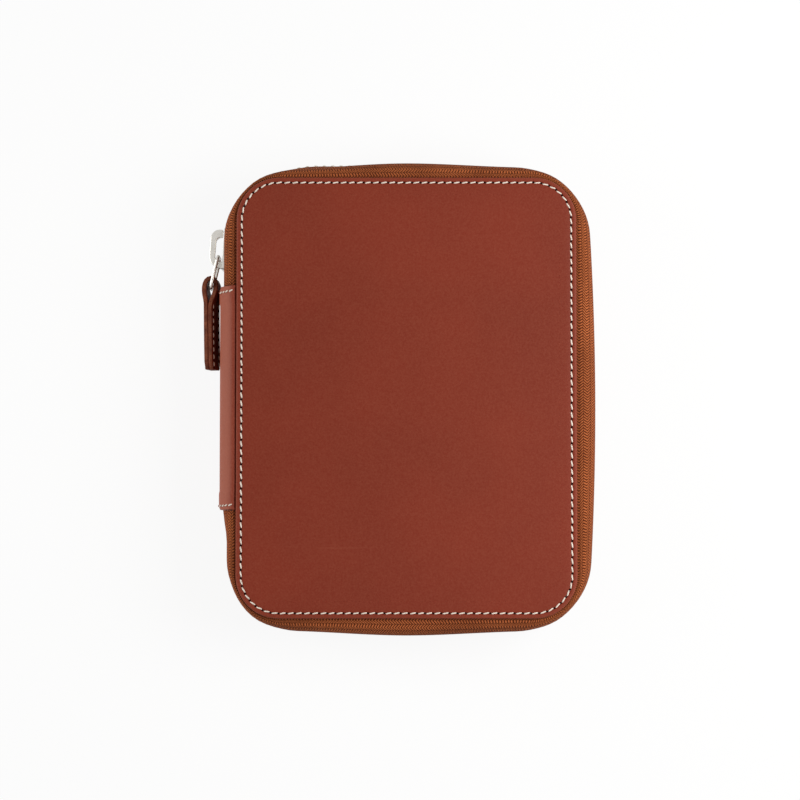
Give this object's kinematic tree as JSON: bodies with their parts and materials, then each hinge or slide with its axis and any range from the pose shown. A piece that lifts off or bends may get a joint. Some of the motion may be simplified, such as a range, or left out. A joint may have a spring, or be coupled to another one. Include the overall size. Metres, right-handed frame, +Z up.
{
  "type": "fountain pen case",
  "caption": "Zip-round leather pen case with rounded corners, a folding spine, rows of pen loops inside both covers, a divider page and a slider with a leather pull.",
  "frame": {"origin": "middle of the back cover's outer face, on which the case lies", "axes": "+Z up through the front cover, +Y along the spine towards the slider, -X towards the spine"},
  "size_m": [0.1594, 0.191, 0.038],
  "materials": {
    "cover_leather": "smooth waxed chestnut leather, burnished edge",
    "strip_leather": "smooth waxed chestnut leather",
    "tab_leather": "chestnut leather, raw brown cut edges",
    "band_leather": "soft chestnut leather",
    "board": "plain grey-brown board",
    "lining": "matt woven lining",
    "zip_tape": "orange-brown herringbone tape",
    "zip_teeth": "bright nickel-plated teeth",
    "slider_metal": "satin nickel"
  },
  "bodies": {
    "back": {"back_leather": "cover_leather", "back_board": "board", "back_lining": "lining", "back_pen_band": "band_leather", "back_tape": "zip_tape", "back_teeth": "zip_teeth", "back_end_stops": "zip_teeth"},
    "spine": {"spine_strip": "strip_leather", "spine_lining": "lining"},
    "divider": {"divider_core": "board", "divider_front_face": "lining", "divider_back_face": "lining"},
    "front": {"front_leather": "cover_leather", "front_board": "board", "front_lining": "lining", "front_pen_band": "band_leather", "front_tape": "zip_tape", "front_teeth": "zip_teeth", "front_end_stops": "zip_teeth"},
    "slider": {"slider_body": "slider_metal", "slider_bridge": "slider_metal"},
    "ring": {"pull_ring": "slider_metal"},
    "tab": {"pull_tab": "tab_leather"}
  },
  "joints": [
    {"name": "spine_fold", "type": "hinge", "parent": "back", "child": "spine", "pos_m": [-0.067, 0, 0.0027], "axis": [0, -1, 0], "range_deg": [0, 43], "deforming": ["spine_strip", "front_teeth", "back_teeth"]},
    {"name": "front_fold", "type": "hinge", "parent": "spine", "child": "front", "pos_m": [-0.067, 0, 0.0353], "axis": [0, -1, 0], "range_deg": [0, 90]},
    {"name": "divider_fold", "type": "hinge", "parent": "spine", "child": "divider", "pos_m": [-0.0651, 0, 0.019], "axis": [0, -1, 0], "range_deg": [-21.5, 0]},
    {"name": "slider_travel", "type": "hinge", "parent": "spine", "child": "slider", "pos_m": [-0.0365, 0.0588, 0.019], "axis": [0, 0, 1], "range_deg": [-84, 0]},
    {"name": "ring_swing", "type": "hinge", "parent": "slider", "child": "ring", "pos_m": [-0.07649, 0.05805, 0.019], "axis": [0, 0, 1], "range_deg": [-110, 0]},
    {"name": "tab_swing", "type": "hinge", "parent": "ring", "child": "tab", "pos_m": [-0.07943, 0.04528, 0.019], "axis": [0, 0, 1], "range_deg": [-60, 0]}
  ],
  "couplings": [
    {"joint": "divider_fold", "follows": "spine_fold", "ratio": -0.5}
  ]
}
